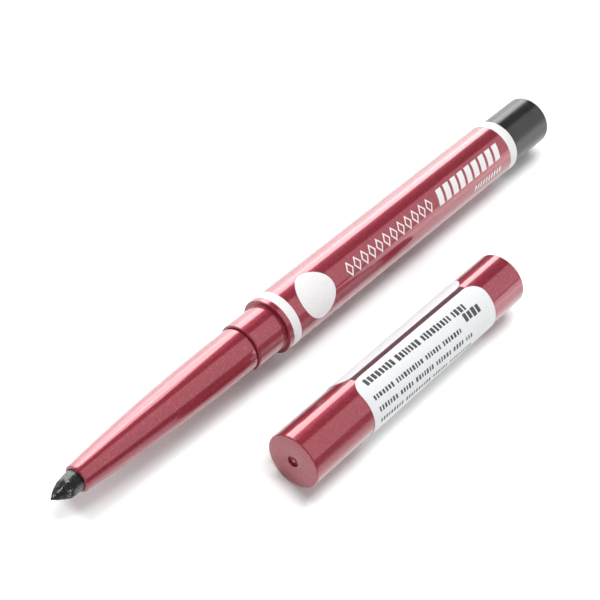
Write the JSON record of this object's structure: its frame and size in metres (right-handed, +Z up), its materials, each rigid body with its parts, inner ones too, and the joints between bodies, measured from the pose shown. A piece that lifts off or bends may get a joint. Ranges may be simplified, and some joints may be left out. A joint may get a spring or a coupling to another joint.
{
  "type": "eyeliner",
  "caption": "Twist-up eyeliner pencil with its cap off and lying beside it; turning the end knob drives the lead out of a slim swelled cone.",
  "frame": {"origin": "centre of the bounding box's base, on the surface that the pencil and its cap lie on", "axes": "+X from the pencil's point towards its end knob, +Y from the cap towards the pencil, +Z up"},
  "size_m": [0.1272, 0.03, 0.0104],
  "materials": {
    "pearl_burgundy": "glossy pearl lacquer on ABS",
    "white_print": "screen-printed white ink on the barrel",
    "gloss_black": "glossy black ABS",
    "natural_plastic": "uncoloured acetal, as moulded",
    "lead": "charcoal wax lead, rough and slightly waxy",
    "rubber": "nitrile rubber",
    "label": "coated white paper"
  },
  "bodies": {
    "body": {"barrel": "pearl_burgundy", "neck_sleeve": "pearl_burgundy", "nose_cone": "pearl_burgundy", "guide_tube": "natural_plastic", "cap": "pearl_burgundy", "cap_label": "label"},
    "knob": {"end_knob": "gloss_black", "spiral_tube": "natural_plastic", "friction_ring": "rubber"},
    "carriage": {"lead_carrier": "natural_plastic", "lead": "lead"}
  },
  "joints": [
    {"name": "knob_turn", "type": "hinge", "parent": "body", "child": "knob", "pos_m": [0, 0.00989, 0.00512], "axis": [-1, 0, 0], "range_deg": [-390, 1290]},
    {"name": "lead_slide", "type": "slide", "parent": "body", "child": "carriage", "axis": [-1, 0, 0], "range_m": [-0.0065, 0.0215]}
  ],
  "couplings": [
    {"joint": "knob_turn", "follows": "lead_slide", "rad_per_m": 1047.2}
  ]
}
